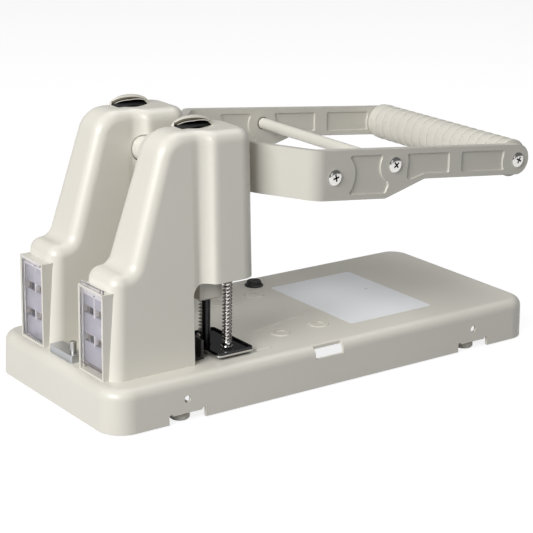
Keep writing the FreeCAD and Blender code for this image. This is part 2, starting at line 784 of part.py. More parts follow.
def arm_panels():
    """Sunk panels on both faces of an arm's straight run, waisted round the screw bosses."""
    outer = arm_outer_width / 2
    inner = outer - arm_thickness
    bosses = ((rear_boss_radius, first_screw_place), (middle_boss_radius, second_screw_place),
              (front_boss_radius, grip_place))
    shapes = []
    for floor, mouth in ((inner + arm_panel_depth, inner - overrun), (outer - arm_panel_depth, outer + overrun)):
        x0, x1 = sorted((floor, mouth))
        rounds = [cylinder_x(radius, x0, x1, y, z) for radius, (y, z) in bosses]
        for points in (rear_panel, middle_panel, front_panel):
            panel = side_prism(points, [arm_panel_corner] * len(points), x0, x1).cut(Part.makeCompound(rounds))
            rim = [edge for edge in panel.Edges if abs(edge.BoundBox.Center.x - floor) < arm_panel_depth / 4]
            shapes.append(panel.makeFillet(arm_panel_bevel, rim))
    return Part.makeCompound(shapes)


def lever_shaft():
    reach = tower_centre + cheek_outer_width / 2
    shaft = cylinder_x(shaft_diameter / 2, -reach, reach, shaft_place, shaft_height)
    return shaft.makeChamfer(shaft_diameter / 16, [shaft.Edges[0], shaft.Edges[2]])


def lever_hub():
    """Boss between the two arms, bored for the shaft and the three through bolts."""
    half = arm_gap_width / 2 - arm_thickness
    hub = cylinder_x(hub_diameter / 2, -half, half, shaft_place, shaft_height)
    cuts = [cylinder_x(shaft_diameter / 2, -half - overrun, half + overrun, shaft_place, shaft_height)]
    for turn in (90, 210, 330):
        angle = math.radians(turn)
        cuts.append(cylinder_x(hub_bolt_diameter / 2, -half - overrun, half + overrun,
                               shaft_place + hub_bolt_circle / 2 * math.cos(angle),
                               shaft_height + hub_bolt_circle / 2 * math.sin(angle)))
    return hub.cut(Part.makeCompound(cuts))


def hub_bolts():
    half = arm_gap_width / 2
    shapes = []
    for turn in (90, 210, 330):
        angle = math.radians(turn)
        y = shaft_place + hub_bolt_circle / 2 * math.cos(angle)
        z = shaft_height + hub_bolt_circle / 2 * math.sin(angle)
        shank = cylinder_x(hub_bolt_diameter / 2, -half, half, y, z)
        heads = [cylinder_x(hub_bolt_diameter * 0.85, half, half + hub_bolt_diameter / 2, y, z),
                 cylinder_x(hub_bolt_diameter * 0.85, -half - hub_bolt_diameter / 2, -half, y, z)]
        shapes.append(fuse([shank] + heads))
    return Part.makeCompound(shapes)


def shaft_collars():
    """Stepped spacers on the shaft between the arms and the tower frames."""
    shapes = []
    arm_face = arm_gap_width / 2
    step = arm_face + hub_bolt_diameter
    frame_face = tower_centre - cheek_outer_width / 2 - sliding_gap
    for side in (-1, 1):
        x0, x1 = sorted((side * step, side * frame_face))
        wide = cylinder_x(collar_diameter / 2, x0, x1, shaft_place, shaft_height)
        x0, x1 = sorted((side * arm_face, side * frame_face))
        slim = cylinder_x(shaft_diameter / 2 + bush_wall / 2, x0, x1, shaft_place, shaft_height)
        bore = cylinder_x(shaft_diameter / 2, x0, x1, shaft_place, shaft_height)
        shapes.append(fuse([wide, slim]).cut(bore))
    return Part.makeCompound(shapes)


def involute_point(base_radius, radius):
    """Roll angle offset and radius of a point on the involute."""
    pressure = math.acos(base_radius / radius)
    return math.tan(pressure) - pressure


def pinion():
    """Spur pinion with involute flanks; a tooth points straight forward at the rack."""
    base_radius = pitch_radius * math.cos(pressure_angle)
    tip = pitch_radius + gear_module
    root = pitch_radius - gear_module - root_clearance
    start = max(base_radius, root)
    half_pitch_angle = (tooth_pitch / 2 - tooth_relief) / (2 * pitch_radius)
    pitch_roll = involute_point(base_radius, pitch_radius)
    radii = [start + (tip - start) * step / 5 for step in range(6)]
    half_angles = [half_pitch_angle + pitch_roll - involute_point(base_radius, max(r, base_radius)) for r in radii]
    edges = []
    step_angle = 2 * math.pi / pinion_teeth

    def at(radius, angle):
        return Vector(0, radius * math.cos(angle), radius * math.sin(angle))

    for tooth in range(pinion_teeth):
        centre = math.pi + tooth * step_angle
        rising = [at(r, centre - a) for r, a in zip(radii, half_angles)]
        falling = [at(r, centre + a) for r, a in zip(reversed(radii), reversed(half_angles))]
        foot_in = at(root, centre - half_angles[0])
        foot_out = at(root, centre + half_angles[0])
        next_foot = at(root, centre + step_angle - half_angles[0])
        flank_in = Part.BSplineCurve()
        flank_in.interpolate(Points=rising)
        flank_out = Part.BSplineCurve()
        flank_out.interpolate(Points=falling)
        edges.append(line(foot_in, rising[0]))
        edges.append(flank_in.toShape())
        edges.append(arc(rising[-1], at(tip, centre), falling[0]))
        edges.append(flank_out.toShape())
        edges.append(line(falling[-1], foot_out))
        edges.append(arc(foot_out, at(root, centre + step_angle / 2), next_foot))
    gear = Part.Face(Part.Wire(edges)).extrude(Vector(pinion_width, 0, 0))
    gear = moved(gear, -pinion_width / 2, shaft_place, shaft_height)
    bore = cylinder_x(shaft_diameter / 2, -pinion_width, pinion_width, shaft_place, shaft_height)
    return gear.cut(bore)


def tie_rod(place):
    y, z = place
    half = arm_inner_width / 2
    rod = cylinder_x(tie_rod_diameter / 2, -half, half, y, z)
    ends = [cylinder_x(screw_diameter / 2, half - screw_depth, half + overrun, y, z),
            cylinder_x(screw_diameter / 2, -half - overrun, screw_depth - half, y, z)]
    return rod.cut(Part.makeCompound(ends))


def grip_tube():
    y, z = grip_place
    half = arm_inner_width / 2
    rod = cylinder_x(grip_tube_diameter / 2, -half, half, y, z)
    ends = [cylinder_x(screw_diameter / 2, half - screw_depth, half + overrun, y, z),
            cylinder_x(screw_diameter / 2, -half - overrun, screw_depth - half, y, z)]
    return rod.cut(Part.makeCompound(ends))


def grip():
    """Moulded sleeve with a row of round ribs, turned about the grip tube."""
    y, z = grip_place
    half = arm_inner_width / 2
    pitch = arm_inner_width / grip_ribs
    crest = grip_diameter / 2
    valley = crest - grip_rib_height
    bore = grip_tube_diameter / 2
    edges = [line(Vector(-half, bore, 0), Vector(-half, valley, 0))]
    for rib in range(grip_ribs):
        x0 = rib * pitch - half
        edges.append(arc(Vector(x0, valley, 0), Vector(x0 + pitch / 2, crest, 0), Vector(x0 + pitch, valley, 0)))
    edges.append(line(Vector(half, valley, 0), Vector(half, bore, 0)))
    edges.append(line(Vector(half, bore, 0), Vector(-half, bore, 0)))
    sleeve = Part.Face(Part.Wire(edges)).revolve(Vector(0, 0, 0), Vector(1, 0, 0), 360)
    return moved(sleeve, 0, y, z)


def arm_screws():
    """Six pan-head screws that hold the rods between the arms."""
    outer = arm_outer_width / 2
    inner = arm_inner_width / 2
    head = screw_head_diameter / 2
    dome_radius = (head ** 2 + screw_head_height ** 2) / (2 * screw_head_height)
    shapes = []
    for y, z in (first_screw_place, second_screw_place, grip_place):
        ball = Part.makeSphere(dome_radius, Vector(outer + screw_head_height - dome_radius, y, z))
        dome = ball.common(cylinder_x(head, outer, outer + screw_head_height, y, z))
        shank = cylinder_x(screw_diameter / 2, inner - screw_depth, outer, y, z)
        screw = fuse([dome, shank])
        shapes.append(screw)
        shapes.append(mirrored(screw))
    return Part.makeCompound(shapes)


# Slides, cutters and pressers

def slide():
    """Slide casting: guide block, yoke for the presser rods, and a column with the rack teeth."""
    block = box(-block_width / 2, block_width / 2, block_front, block_rear, block_bottom, yoke_bottom + yoke_thickness)
    bottom_edges = [edge for edge in block.Edges if edge.BoundBox.ZMax < block_bottom + overrun]
    block = block.makeChamfer(shaft_clearance * 20, bottom_edges)
    yoke_half = yoke_width / 2
    corners = [(yoke_half, block_front + overrun * 3), (-yoke_half, block_front + overrun * 3),
               (-yoke_half, column_front), (yoke_half, column_front)]
    yoke = plan_prism(corners, [rod_diameter / 2] * 2 + [rod_diameter] * 2, yoke_bottom, yoke_bottom + yoke_thickness)
    top_tooth = shaft_height + tooth_pitch / 2
    column_top = top_tooth + tooth_pitch * 0.4
    column = box(-pinion_width / 2, pinion_width / 2, column_front, rack_root_place, yoke_bottom, column_top)
    tip = rack_pitch_place + gear_module
    lean = math.tan(pressure_angle)
    root_half = (tooth_pitch / 2 - tooth_relief) / 2 + (gear_module + root_clearance) * lean
    tip_half = (tooth_pitch / 2 - tooth_relief) / 2 - gear_module * lean
    teeth = []
    for tooth in range(rack_teeth):
        z = top_tooth - tooth * tooth_pitch
        profile = [(rack_root_place - root_clearance, z - root_half), (rack_root_place, z - root_half),
                   (tip, z - tip_half), (tip, z + tip_half), (rack_root_place, z + root_half),
                   (rack_root_place - root_clearance, z + root_half)]
        teeth.append(side_prism(profile, [0] * 6, -pinion_width / 2, pinion_width / 2))
    body = fuse([block, yoke, column] + teeth)
    cutter_top = block_bottom + cutter_grip_length
    cuts = [cylinder_z(cutter_diameter / 2, 0, cutter_place, block_bottom - overrun, cutter_top),
            cylinder_z(cutter_bore / 2, 0, cutter_place + cutter_bore / 2, cutter_top - overrun,
                       yoke_bottom + yoke_thickness + overrun),
            cylinder_y(set_screw_diameter / 2, 0, block_front - overrun, cutter_place,
                       block_bottom + cutter_grip_length / 2)]
    for across in (-1, 1):
        cuts.append(cylinder_z(rod_diameter / 2 + sliding_gap, across * rod_spacing / 2, rod_place,
                               yoke_bottom - overrun, yoke_bottom + yoke_thickness + overrun))
    return body.cut(Part.makeCompound(cuts))


def cutter():
    """Hollow cutter with an inside bevel at its edge."""
    z0 = base_top + sliding_gap
    z1 = block_bottom + cutter_grip_length
    tube = cylinder_z(cutter_diameter / 2, 0, cutter_place, z0, z1)
    bore = cylinder_z(cutter_bore / 2, 0, cutter_place, z0 - overrun, z1 + overrun)
    wall = (cutter_diameter - cutter_bore) / 2
    bevel = Part.makeCone(cutter_diameter / 2 - wall / 4, cutter_bore / 2, 2 * wall, Vector(0, cutter_place, z0))
    return tube.cut(bore).cut(bevel)


def set_screw():
    z = block_bottom + cutter_grip_length / 2
    end = cutter_place - cutter_diameter / 2
    screw = cylinder_y(set_screw_diameter / 2, 0, block_front, end, z)
    socket = cylinder_y(set_screw_diameter / 4, 0, block_front - overrun, block_front + (end - block_front) / 2, z)
    return screw.cut(socket)


def presser_plate():
    """Black presser plate that holds the paper; its edges turn up a little."""
    half = presser_width / 2
    y0 = presser_front
    y1 = presser_front + presser_length
    z0 = presser_height
    corners = [(half, y1), (-half, y1), (-half, y0), (half, y0)]
    lip = presser_lip
    plate = plan_prism(corners, [2 * lip] * 4, z0, z0 + presser_thickness + lip)
    inner = [(half - lip, y1 - lip), (lip - half, y1 - lip), (lip - half, y0 + lip), (half - lip, y0 + lip)]
    dish = plan_prism(inner, [lip] * 4, z0 + presser_thickness, z0 + presser_thickness + lip + overrun)
    cuts = [dish, cylinder_z(cutter_diameter / 2 + 2 * sliding_gap, 0, cutter_place, z0 - overrun,
                             z0 + presser_thickness + overrun)]
    for across in (-1, 1):
        cuts.append(cylinder_z(rod_diameter / 2, across * rod_spacing / 2, rod_place, z0 - overrun,
                               z0 + presser_thickness + overrun))
    return plate.cut(Part.makeCompound(cuts))


def presser_rods():
    """Two guide rods, each with a nut on the plate, a ferrule under the spring and a head on top."""
    shapes = []
    z0 = presser_height
    plate_top = z0 + presser_thickness
    ferrule_foot = plate_top + nut_height
    head_foot = yoke_bottom + yoke_thickness + rod_spare_travel + sliding_gap
    for across in (-1, 1):
        x = across * rod_spacing / 2
        shank = cylinder_z(rod_diameter / 2, x, rod_place, z0, head_foot + nut_height)
        nut = hexagon(nut_across_flats, x, rod_place, plate_top, ferrule_foot)
        ferrule = cylinder_z(ferrule_diameter / 2, x, rod_place, ferrule_foot, ferrule_foot + ferrule_height)
        head = cylinder_z(rod_diameter * 0.75, x, rod_place, head_foot, head_foot + nut_height)
        shapes.append(fuse([shank, nut, ferrule, head]))
    return Part.makeCompound(shapes)


def helix_wire(radius, z0, z1, turns):
    """Helix about the z axis, one biarc for each half turn."""
    halves = 2 * turns
    rise = (z1 - z0) / halves
    climb = rise / math.pi
    edges = []
    for index in range(halves):
        way = 1 if index % 2 == 0 else -1
        start = Vector(way * radius, 0, z0 + rise * index)
        end = Vector(-way * radius, 0, z0 + rise * (index + 1))
        start_direction = Vector(0, way * radius, climb).normalize()
        end_direction = Vector(0, -way * radius, climb).normalize()
        edges.extend(biarc(start, start_direction, end, end_direction))
    return Part.Wire(edges)


def biarc(start, tangent_a, end, tangent_b):
    """Two arcs that join tangent to each other and to the given directions."""
    chord = end - start
    both = tangent_a + tangent_b
    along = chord.dot(both)
    spread = 2 * (1 - tangent_a.dot(tangent_b))
    reach = (math.sqrt(along * along + spread * chord.dot(chord)) - along) / spread
    first = start + tangent_a * reach
    second = end - tangent_b * reach
    joint = (first + second) * 0.5
    arcs = []
    for p, corner, q in ((start, first, joint), (joint, second, end)):
        centre_way = (p + q) * 0.5
        half_chord = (q - p).Length / 2
        height = (corner - centre_way).Length
        leg = (corner - p).Length
        depth = half_chord * (leg - half_chord) / height
        middle = centre_way + (corner - centre_way).normalize() * depth
        arcs.append(arc(p, middle, q))
    return arcs


def spring_tube(radius, z0, z1, turns):
    path = helix_wire(radius, z0, z1, turns)
    start = path.OrderedVertexes[0].Point
    climb = (z1 - z0) / (turns * 2 * math.pi)
    ring = Part.Wire([Part.makeCircle(spring_wire / 2, start, Vector(0, radius, climb))])
    return path.makePipeShell([ring], True, False)


def presser_springs():
    """Two coil springs round the rods, between the ferrules and the yoke."""
    z0 = presser_height + presser_thickness + nut_height + ferrule_height + spring_wire / 2
    z1 = yoke_bottom - sliding_gap - spring_wire / 2
    radius = (spring_diameter - spring_wire) / 2
    spring = spring_tube(radius, z0, z1, spring_turns)
    pitch = (z1 - z0) / spring_turns
    print("spring gap between turns", round(least_turn_gap(radius, z0, z1), 3), "pitch", round(pitch, 3))
    return Part.makeCompound([moved(spring, across * rod_spacing / 2, rod_place) for across in (-1, 1)])


def least_turn_gap(radius, z0, z1):
    """Smallest clear distance between turns, measured on points along the helix."""
    steps = 24
    total = steps * spring_turns
    points = []
    for index in range(total + 1):
        angle = 2 * math.pi * index / steps
        points.append(Vector(radius * math.cos(angle), radius * math.sin(angle), z0 + (z1 - z0) * index / total))
    least = min((points[i] - points[j]).Length
                for i in range(total + 1) for j in range(i + steps // 2, min(total + 1, i + 2 * steps)))
    return least - spring_wire


def export(name, shape):
    shape.exportStep("parts/" + name + ".step")


export("base_shell", base_shell())
export("feet", feet())
export("die_plate", die_plate())
export("frame_screws", frame_screws())
export("paper_stops", paper_stops())
export("bumper", bumper())
export("rear_bracket", rear_bracket())
export("bracket_stud", bracket_stud())

export("lever_shaft", lever_shaft())
export("lever_hub", lever_hub())
export("hub_bolts", hub_bolts())
export("shaft_collars", shaft_collars())
export("rear_tie_rod", tie_rod(first_screw_place))
export("front_tie_rod", tie_rod(second_screw_place))
export("grip", grip())
export("grip_tube", grip_tube())
export("arm_screws", arm_screws())
right_arm = lever_arm()
export("right_arm", right_arm)
export("left_arm", mirrored(right_arm))

frame_shape = tower_frame()
bush_shape = shaft_bushes()
bin_shape = chip_bin()
window_shape = bin_window()
pinion_shape = pinion()
slide_shape = slide()
cutter_shape = cutter()
set_screw_shape = set_screw()
plate_shape = presser_plate()
rods_shape = presser_rods()
springs_shape = presser_springs()

for side, hand, lift in ((-1, "left", window_lift), (1, "right", 0.0)):
    x = side * tower_centre
    export(hand + "_cutting_disc", cutting_disc(x))
    export(hand + "_cover", moved(tower_cover(side), x))
    export(hand + "_frame", moved(frame_shape, x))
    export(hand + "_shaft_bushes", moved(bush_shape, x))
    export(hand + "_chip_bin", moved(bin_shape, x))
    export(hand + "_bin_window", moved(window_shape, x, 0, lift))
    export(hand + "_pinion", moved(pinion_shape, x))
    export(hand + "_slide", moved(slide_shape, x))
    export(hand + "_cutter", moved(cutter_shape, x))
    export(hand + "_set_screw", moved(set_screw_shape, x))
    export(hand + "_presser_plate", moved(plate_shape, x))
    export(hand + "_presser_rods", moved(rods_shape, x))
    export(hand + "_presser_springs", moved(springs_shape, x))
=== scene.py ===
import math

import bpy
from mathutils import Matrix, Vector


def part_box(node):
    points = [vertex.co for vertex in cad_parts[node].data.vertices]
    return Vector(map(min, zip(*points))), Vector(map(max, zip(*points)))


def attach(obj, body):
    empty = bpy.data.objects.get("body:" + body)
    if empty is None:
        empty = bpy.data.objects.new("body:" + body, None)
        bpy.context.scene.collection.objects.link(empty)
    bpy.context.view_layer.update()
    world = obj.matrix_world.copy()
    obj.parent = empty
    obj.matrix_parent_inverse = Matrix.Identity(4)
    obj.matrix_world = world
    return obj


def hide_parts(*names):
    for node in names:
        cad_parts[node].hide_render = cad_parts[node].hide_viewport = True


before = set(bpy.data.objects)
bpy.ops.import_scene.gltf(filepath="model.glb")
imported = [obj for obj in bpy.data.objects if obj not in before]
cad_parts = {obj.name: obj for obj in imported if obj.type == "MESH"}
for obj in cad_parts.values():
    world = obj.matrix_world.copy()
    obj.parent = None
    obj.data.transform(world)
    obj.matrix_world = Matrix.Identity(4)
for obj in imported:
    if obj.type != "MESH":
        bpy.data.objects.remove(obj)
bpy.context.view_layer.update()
bpy.ops.object.select_all(action="DESELECT")

# Camera: a product shot from behind and a little above, over the left tower, with a long lens.
camera_data = bpy.data.cameras.new("product_camera")
camera_data.lens = 114.45
camera_data.sensor_width = 36.0
camera_data.clip_end = 40.0
camera = bpy.data.objects.new("product_camera", camera_data)
camera.location = (-0.95095, 0.70430, 0.43307)
camera.rotation_euler = (math.radians(72.755), math.radians(-0.979), math.radians(-125.967))
bpy.context.collection.objects.link(camera)
bpy.context.scene.camera = camera

# Table: a seamless white sheet. Seen straight on or in a reflection it glows a little,
# so that it stays white, and it still takes the shadow of the machine.
bpy.ops.mesh.primitive_plane_add(size=1.0)
table = bpy.context.object
table.name = "white_table"
bpy.ops.object.mode_set(mode="EDIT")
bpy.ops.transform.resize(value=(16.0, 16.0, 1.0))
bpy.ops.object.mode_set(mode="OBJECT")
paper_white = bpy.data.materials.new("table_white")
paper_white.use_nodes = True
nodes = paper_white.node_tree.nodes
links = paper_white.node_tree.links
nodes.clear()
table_out = nodes.new("ShaderNodeOutputMaterial")
table_sum = nodes.new("ShaderNodeAddShader")
table_diffuse = nodes.new("ShaderNodeBsdfDiffuse")
table_diffuse.inputs["Color"].default_value = (0.26, 0.26, 0.26, 1.0)
table_glow = nodes.new("ShaderNodeEmission")
table_rays = nodes.new("ShaderNodeLightPath")
seen = nodes.new("ShaderNodeMath")
seen.operation = "ADD"
seen_or_mirrored = nodes.new("ShaderNodeMath")
seen_or_mirrored.operation = "ADD"
glow_amount = nodes.new("ShaderNodeMath")
glow_amount.operation = "MULTIPLY"
glow_amount.inputs[1].default_value = 0.85
links.new(table_rays.outputs["Is Camera Ray"], seen.inputs[0])
links.new(table_rays.outputs["Is Transmission Ray"], seen.inputs[1])
links.new(seen.outputs[0], seen_or_mirrored.inputs[0])
links.new(table_rays.outputs["Is Glossy Ray"], seen_or_mirrored.inputs[1])
links.new(seen_or_mirrored.outputs[0], glow_amount.inputs[0])
links.new(glow_amount.outputs[0], table_glow.inputs["Strength"])
links.new(table_diffuse.outputs[0], table_sum.inputs[0])
links.new(table_glow.outputs[0], table_sum.inputs[1])
links.new(table_sum.outputs[0], table_out.inputs["Surface"])
table.data.materials.append(paper_white)

# Light: a pale room, one large soft box behind and above the machine, a weak one beside the
# camera, and a broad one overhead that lights the tops of base, towers and lever.
room = bpy.data.worlds.new("pale_room")
bpy.context.scene.world = room
room.use_nodes = True
room.node_tree.nodes["Background"].inputs["Color"].default_value = (0.98, 0.99, 1.0, 1.0)
room.node_tree.nodes["Background"].inputs["Strength"].default_value = 0.15


def soft_box(name, place, target, width, height, power):
    lamp_data = bpy.data.lights.new(name, "AREA")
    lamp_data.shape = "RECTANGLE"
    lamp_data.size = width
    lamp_data.size_y = height
    lamp_data.energy = power
    lamp = bpy.data.objects.new(name, lamp_data)
    lamp.location = place
    lamp.rotation_euler = (Vector(target) - Vector(place)).to_track_quat("-Z", "Y").to_euler()
    bpy.context.collection.objects.link(lamp)


soft_box("key_box", (-0.62, 1.60, 1.05), (0.0, 0.0, 0.10), 1.2, 0.9, 38.0)
soft_box("camera_box", (-1.7, 0.10, 0.7), (0.0, 0.0, 0.10), 0.7, 0.9, 1.6)
soft_box("top_box", (0.15, -0.55, 1.7), (0.0, -0.08, 0.1), 1.2, 1.2, 11.0)
bpy.context.scene.view_settings.view_transform = "Standard"

# Base pan: sheet steel pressed in one piece and enamelled warm grey. The enamel has a faint
# orange-peel skin, and its gloss drifts a little.


def add_node(tree, kind, **values):
    node = tree.nodes.new(kind)
    for key, value in values.items():
        if hasattr(node, key):
            setattr(node, key, value)
        else:
            node.inputs[key.replace("_", " ")].default_value = value
    return node


def enamel(name, light, dark, peel=0.05, gloss=(0.30, 0.42)):
    paint = bpy.data.materials.new(name)
    paint.use_nodes = True
    tree = paint.node_tree
    shader = tree.nodes["Principled BSDF"]
    place = add_node(tree, "ShaderNodeTexCoord")
    drift = add_node(tree, "ShaderNodeTexNoise", Scale=14.0, Detail=3.0, Roughness=0.55)
    tint = add_node(tree, "ShaderNodeMix", data_type="RGBA")
    tint.inputs[6].default_value = (*light, 1.0)
    tint.inputs[7].default_value = (*dark, 1.0)
    sheen = add_node(tree, "ShaderNodeTexNoise", Scale=45.0, Detail=4.0)
    gloss_range = add_node(tree, "ShaderNodeMapRange", To_Min=gloss[0], To_Max=gloss[1])
    skin = add_node(tree, "ShaderNodeTexNoise", Scale=900.0, Detail=2.0)
    specks = add_node(tree, "ShaderNodeTexVoronoi", Scale=420.0)
    speck_edge = add_node(tree, "ShaderNodeMapRange", From_Min=0.0, From_Max=0.08, To_Min=-0.35, To_Max=0.0)
    relief = add_node(tree, "ShaderNodeMath", operation="ADD")
    bump = add_node(tree, "ShaderNodeBump", Strength=peel, Distance=0.0004)
    for texture in (drift, sheen, skin, specks):
        tree.links.new(place.outputs["Object"], texture.inputs["Vector"])
    tree.links.new(drift.outputs["Fac"], tint.inputs[0])
    tree.links.new(tint.outputs[2], shader.inputs["Base Color"])
    tree.links.new(sheen.outputs["Fac"], gloss_range.inputs["Value"])
    tree.links.new(gloss_range.outputs["Result"], shader.inputs["Roughness"])
    tree.links.new(specks.outputs["Distance"], speck_edge.inputs["Value"])
    tree.links.new(skin.outputs["Fac"], relief.inputs[0])
    tree.links.new(speck_edge.outputs["Result"], relief.inputs[1])
    tree.links.new(relief.outputs[0], bump.inputs["Height"])
    tree.links.new(bump.outputs["Normal"], shader.inputs["Normal"])
    shader.inputs["Coat Weight"].default_value = 0.12
    shader.inputs["Coat Roughness"].default_value = 0.22
    return paint


def dress(material, *names):
    for name in names:
        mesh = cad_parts[name].data
        mesh.materials.clear()
        mesh.materials.append(material)


base_enamel = enamel("warm_grey_enamel", (0.735, 0.710, 0.640), (0.705, 0.680, 0.610))
dress(base_enamel, "base_shell")

# Pressed ribs: two short beads that the press tool leaves beside the rings, half sunk in the
# top of the pan and enamelled with it.
pan_top = 0.0310
rib_radius = 0.0014
rib_flatness = 0.42
rib_runs = (((-0.028, 0.036), (-0.015, -0.018)), ((-0.0607, 0.057), (-0.0604, 0.0466)))
for index, (start, end) in enumerate(rib_runs):
    run = Vector((end[0] - start[0], end[1] - start[1], 0.0))
    bpy.ops.object.select_all(action="DESELECT")
    bpy.ops.mesh.primitive_uv_sphere_add(segments=24, ring_count=12, radius=rib_radius)
    bead = bpy.context.object
    bead.name = f"pressed_rib_{index + 1}"
    bpy.ops.object.mode_set(mode="EDIT")
    bpy.ops.mesh.select_all(action="DESELECT")
    bpy.ops.object.mode_set(mode="OBJECT")
    for vertex in bead.data.vertices:
        vertex.select = vertex.co.x > 0.00001
    bpy.ops.object.mode_set(mode="EDIT")
    bpy.ops.transform.translate(value=(run.length, 0.0, 0.0))
    bpy.ops.mesh.select_all(action="SELECT")
    bpy.ops.transform.resize(value=(1.0, 1.0, rib_flatness), center_override=(0.0, 0.0, 0.0))
    bpy.ops.object.mode_set(mode="OBJECT")
    bead.rotation_euler = (0.0, 0.0, math.atan2(run.y, run.x))
    bead.location = (start[0], start[1], pan_top)
    bpy.ops.object.transform_apply(location=True, rotation=True, scale=True)
    bpy.ops.object.shade_smooth()
    bead.data.materials.append(base_enamel)
    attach(bead, "base")

# Film: a blank sheet of white plastic film stuck on the top of the pan, cut with rounded
# corners so that they don't lift.
film_length = 0.1001
film_width = 0.0770
film_thickness = 0.00012
bpy.ops.object.select_all(action="DESELECT")
bpy.ops.mesh.primitive_plane_add(size=1.0, location=(-0.0031, -0.0701, 0.03106))
film = bpy.context.object
film.name = "blank_film"
bpy.ops.object.mode_set(mode="EDIT")
bpy.ops.transform.resize(value=(film_length, film_width, 1.0))
bpy.ops.mesh.bevel(offset=0.0030, segments=6, affect="VERTICES")
bpy.ops.mesh.extrude_region_move(TRANSFORM_OT_translate={"value": (0.0, 0.0, film_thickness)})
bpy.ops.mesh.select_all(action="SELECT")
bpy.ops.mesh.normals_make_consistent(inside=False)
bpy.ops.object.mode_set(mode="OBJECT")
bpy.ops.object.transform_apply(location=True, rotation=True, scale=True)


def moulded(name, light, dark, rough=(0.38, 0.52), grain=260.0, depth=0.08):
    plastic = bpy.data.materials.new(name)
    plastic.use_nodes = True
    tree = plastic.node_tree
    shader = tree.nodes["Principled BSDF"]
    place = add_node(tree, "ShaderNodeTexCoord")
    cloud = add_node(tree, "ShaderNodeTexNoise", Scale=30.0, Detail=3.0)
    tint = add_node(tree, "ShaderNodeMix", data_type="RGBA")
    tint.inputs[6].default_value = (*light, 1.0)
    tint.inputs[7].default_value = (*dark, 1.0)
    fine = add_node(tree, "ShaderNodeTexNoise", Scale=grain, Detail=5.0)
    rough_range = add_node(tree, "ShaderNodeMapRange", To_Min=rough[0], To_Max=rough[1])
    bump = add_node(tree, "ShaderNodeBump", Strength=depth, Distance=0.0003)
    for texture in (cloud, fine):
        tree.links.new(place.outputs["Object"], texture.inputs["Vector"])
    tree.links.new(cloud.outputs["Fac"], tint.inputs[0])
    tree.links.new(tint.outputs[2], shader.inputs["Base Color"])
    tree.links.new(fine.outputs["Fac"], rough_range.inputs["Value"])
    tree.links.new(rough_range.outputs["Result"], shader.inputs["Roughness"])
    tree.links.new(fine.outputs["Fac"], bump.inputs["Height"])
    tree.links.new(bump.outputs["Normal"], shader.inputs["Normal"])
    return plastic


white_film = moulded("white_film", (0.93, 0.94, 0.96), (0.91, 0.92, 0.94), (0.25, 0.34), 90.0, 0.02)
film.data.materials.append(white_film)
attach(film, "base")

# Feet, button and stops: four feet of cream rubber on the bent tabs of the pan, one turned
# button of black rubber on its top, and black angle stops screwed down behind the cutters.
cream_rubber = moulded("cream_rubber", (0.690, 0.665, 0.595), (0.640, 0.615, 0.545), (0.50, 0.65),
                       600.0, 0.10)
dress(cream_rubber, "feet")
black_rubber = moulded("black_rubber", (0.014, 0.014, 0.015), (0.028, 0.027, 0.026), (0.40, 0.55),
                       800.0, 0.14)


def turned_piece(name, outline, centre, axis):
    """Piece of revolution; outline gives (place along the axis, radius) from end to end."""
    bpy.ops.object.select_all(action="DESELECT")
    bpy.ops.curve.primitive_nurbs_path_add()
    path = bpy.context.object
    path.name = name
    path.data.splines.clear()
    line = path.data.splines.new("POLY")
    line.points.add(len(outline) - 1)
    for point, (along, radius) in zip(line.points, outline):
        if axis == "Z":
            point.co = (centre[0] + radius, centre[1], centre[2] + along, 1.0)
        else:
            point.co = (centre[0] + along, centre[1] + radius, centre[2], 1.0)
    bpy.ops.object.convert(target="MESH")
    turned = bpy.context.object
    way = (0.0, 0.0, 1.0) if axis == "Z" else (1.0, 0.0, 0.0)
    bpy.ops.object.mode_set(mode="EDIT")
    bpy.ops.mesh.select_all(action="SELECT")
    bpy.ops.mesh.spin(steps=72, angle=2 * math.pi, center=centre, axis=way)
    bpy.ops.mesh.select_all(action="SELECT")
    bpy.ops.mesh.remove_doubles(threshold=0.000005)
    bpy.ops.mesh.normals_make_consistent(inside=False)
    bpy.ops.object.mode_set(mode="OBJECT")
    bpy.ops.object.transform_apply(location=True, rotation=True, scale=True)
    bpy.ops.object.shade_smooth_by_angle(angle=math.radians(38))
    return turned


button_outline = (
    (0.0, 0.0), (0.0, 0.0068), (0.0003, 0.0072), (0.0008, 0.0072), (0.0012, 0.0068), (0.0014, 0.0061),
    (0.0019, 0.0059), (0.0034, 0.0056), (0.0040, 0.0053), (0.0043, 0.0048), (0.0043, 0.0036),
    (0.0039, 0.0028), (0.0037, 0.0))
button = turned_piece("rubber_button", button_outline, (0.059, -0.025, pan_top), "Z")
button.data.materials.append(black_rubber)
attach(button, "base")
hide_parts("bumper")
black_stop = moulded("black_stop", (0.016, 0.015, 0.015), (0.030, 0.028, 0.026), (0.35, 0.5))
dress(black_stop, "paper_stops")

# Steel under the pan: the ground plate that backs the cutting discs, its eight screws, the
# zinc cap with its stud, and the two white discs that the cutters press on.


